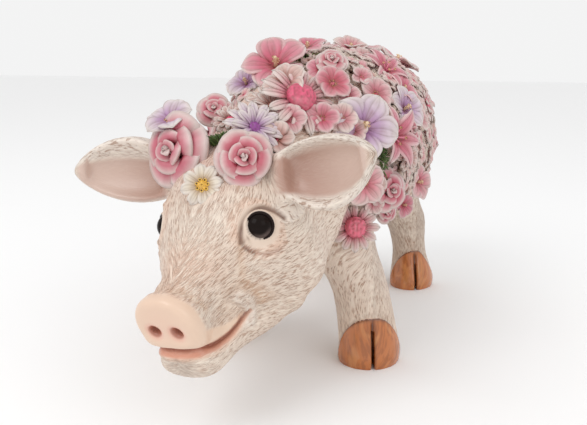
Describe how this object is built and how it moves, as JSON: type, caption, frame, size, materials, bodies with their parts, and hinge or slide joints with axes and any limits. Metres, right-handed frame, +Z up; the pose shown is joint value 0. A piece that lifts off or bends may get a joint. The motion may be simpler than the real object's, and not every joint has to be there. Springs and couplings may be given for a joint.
{
  "type": "pig figurine",
  "caption": "Standing pig figurine with a lowered head, cloven hooves and curled tail, its back and crown covered in sculpted flowers, buds and moss",
  "frame": {"origin": "bottom centre of the bounding box, on the plane that the four hooves stand on", "axes": "+Z up, -Y the way the pig walks (its body's front), +X the pig's left side, which the picture shows; the head is turned a little towards -X and rolled"},
  "size_m": [0.122, 0.2414, 0.1313],
  "materials": {
    "blossom": "painted cast resin, satin, pink petals and a dark throat",
    "body_fur": "painted cast resin, satin, cream with a beige wash and fine fur strokes",
    "daisy": "painted cast resin, satin, white-pink petals and a dark pink eye",
    "ear": "painted cast resin, satin, cream rim and dusty pink-brown inside",
    "eye": "gloss black",
    "floret": "painted cast resin, matt, beige with a brown wash",
    "head_fur": "painted cast resin, satin, cream with peach tints and fine fur strokes",
    "hoof": "painted cast resin, gloss, amber orange with darker streaks",
    "lily": "painted cast resin, satin, pink long petals",
    "mallow": "painted cast resin, satin, lilac with a purple throat",
    "moss": "painted cast resin, matt, dark green",
    "rose": "painted cast resin, satin, pink with white-pink outer petals",
    "star": "painted cast resin, satin, cream petals and a yellow eye"
  },
  "bodies": {
    "root": {"back_blossom_left": "blossom", "back_blossom_top": "blossom", "back_lily": "lily", "back_mallow": "mallow", "back_rosebud": "rose", "back_star": "star", "crown_daisy_left": "daisy", "crown_daisy_right": "daisy", "crown_rose_left": "rose", "crown_rose_right": "rose", "crown_rosebud": "rose", "crown_star": "star", "flank_blossom_high": "blossom", "flank_blossom_right": "blossom", "flank_bud": "rose", "flank_daisy_right": "daisy", "flank_lily": "lily", "flank_mallow": "mallow", "flank_mallow_right": "mallow", "flank_rose": "rose", "florets_left": "floret", "florets_right": "floret", "florets_top": "floret", "front_left_hoof": "hoof", "front_left_leg": "body_fur", "front_right_hoof": "hoof", "front_right_leg": "body_fur", "haunch_blossom_left": "blossom", "haunch_blossom_right": "blossom", "haunch_daisy_right": "daisy", "haunch_rose_left": "rose", "head_casting": "head_fur", "left_ear": "ear", "left_eye": "eye", "leg_daisy": "daisy", "loin_blossom": "blossom", "loin_daisy": "daisy", "loin_lily": "lily", "loin_rose_right": "rose", "loin_star_right": "star", "moss_tufts": "moss", "nape_daisy": "daisy", "rear_left_hoof": "hoof", "rear_left_leg": "body_fur", "rear_right_hoof": "hoof", "rear_right_leg": "body_fur", "right_ear": "ear", "right_eye": "eye", "rump_daisy": "daisy", "rump_mallow": "mallow", "rump_rose": "rose", "shoulder_blossom_left": "blossom", "shoulder_blossom_right": "blossom", "shoulder_bud": "rose", "shoulder_daisy": "daisy", "shoulder_rose_right": "rose", "shoulder_star": "star", "tail": "body_fur", "torso_casting": "body_fur"}
  },
  "joints": []
}
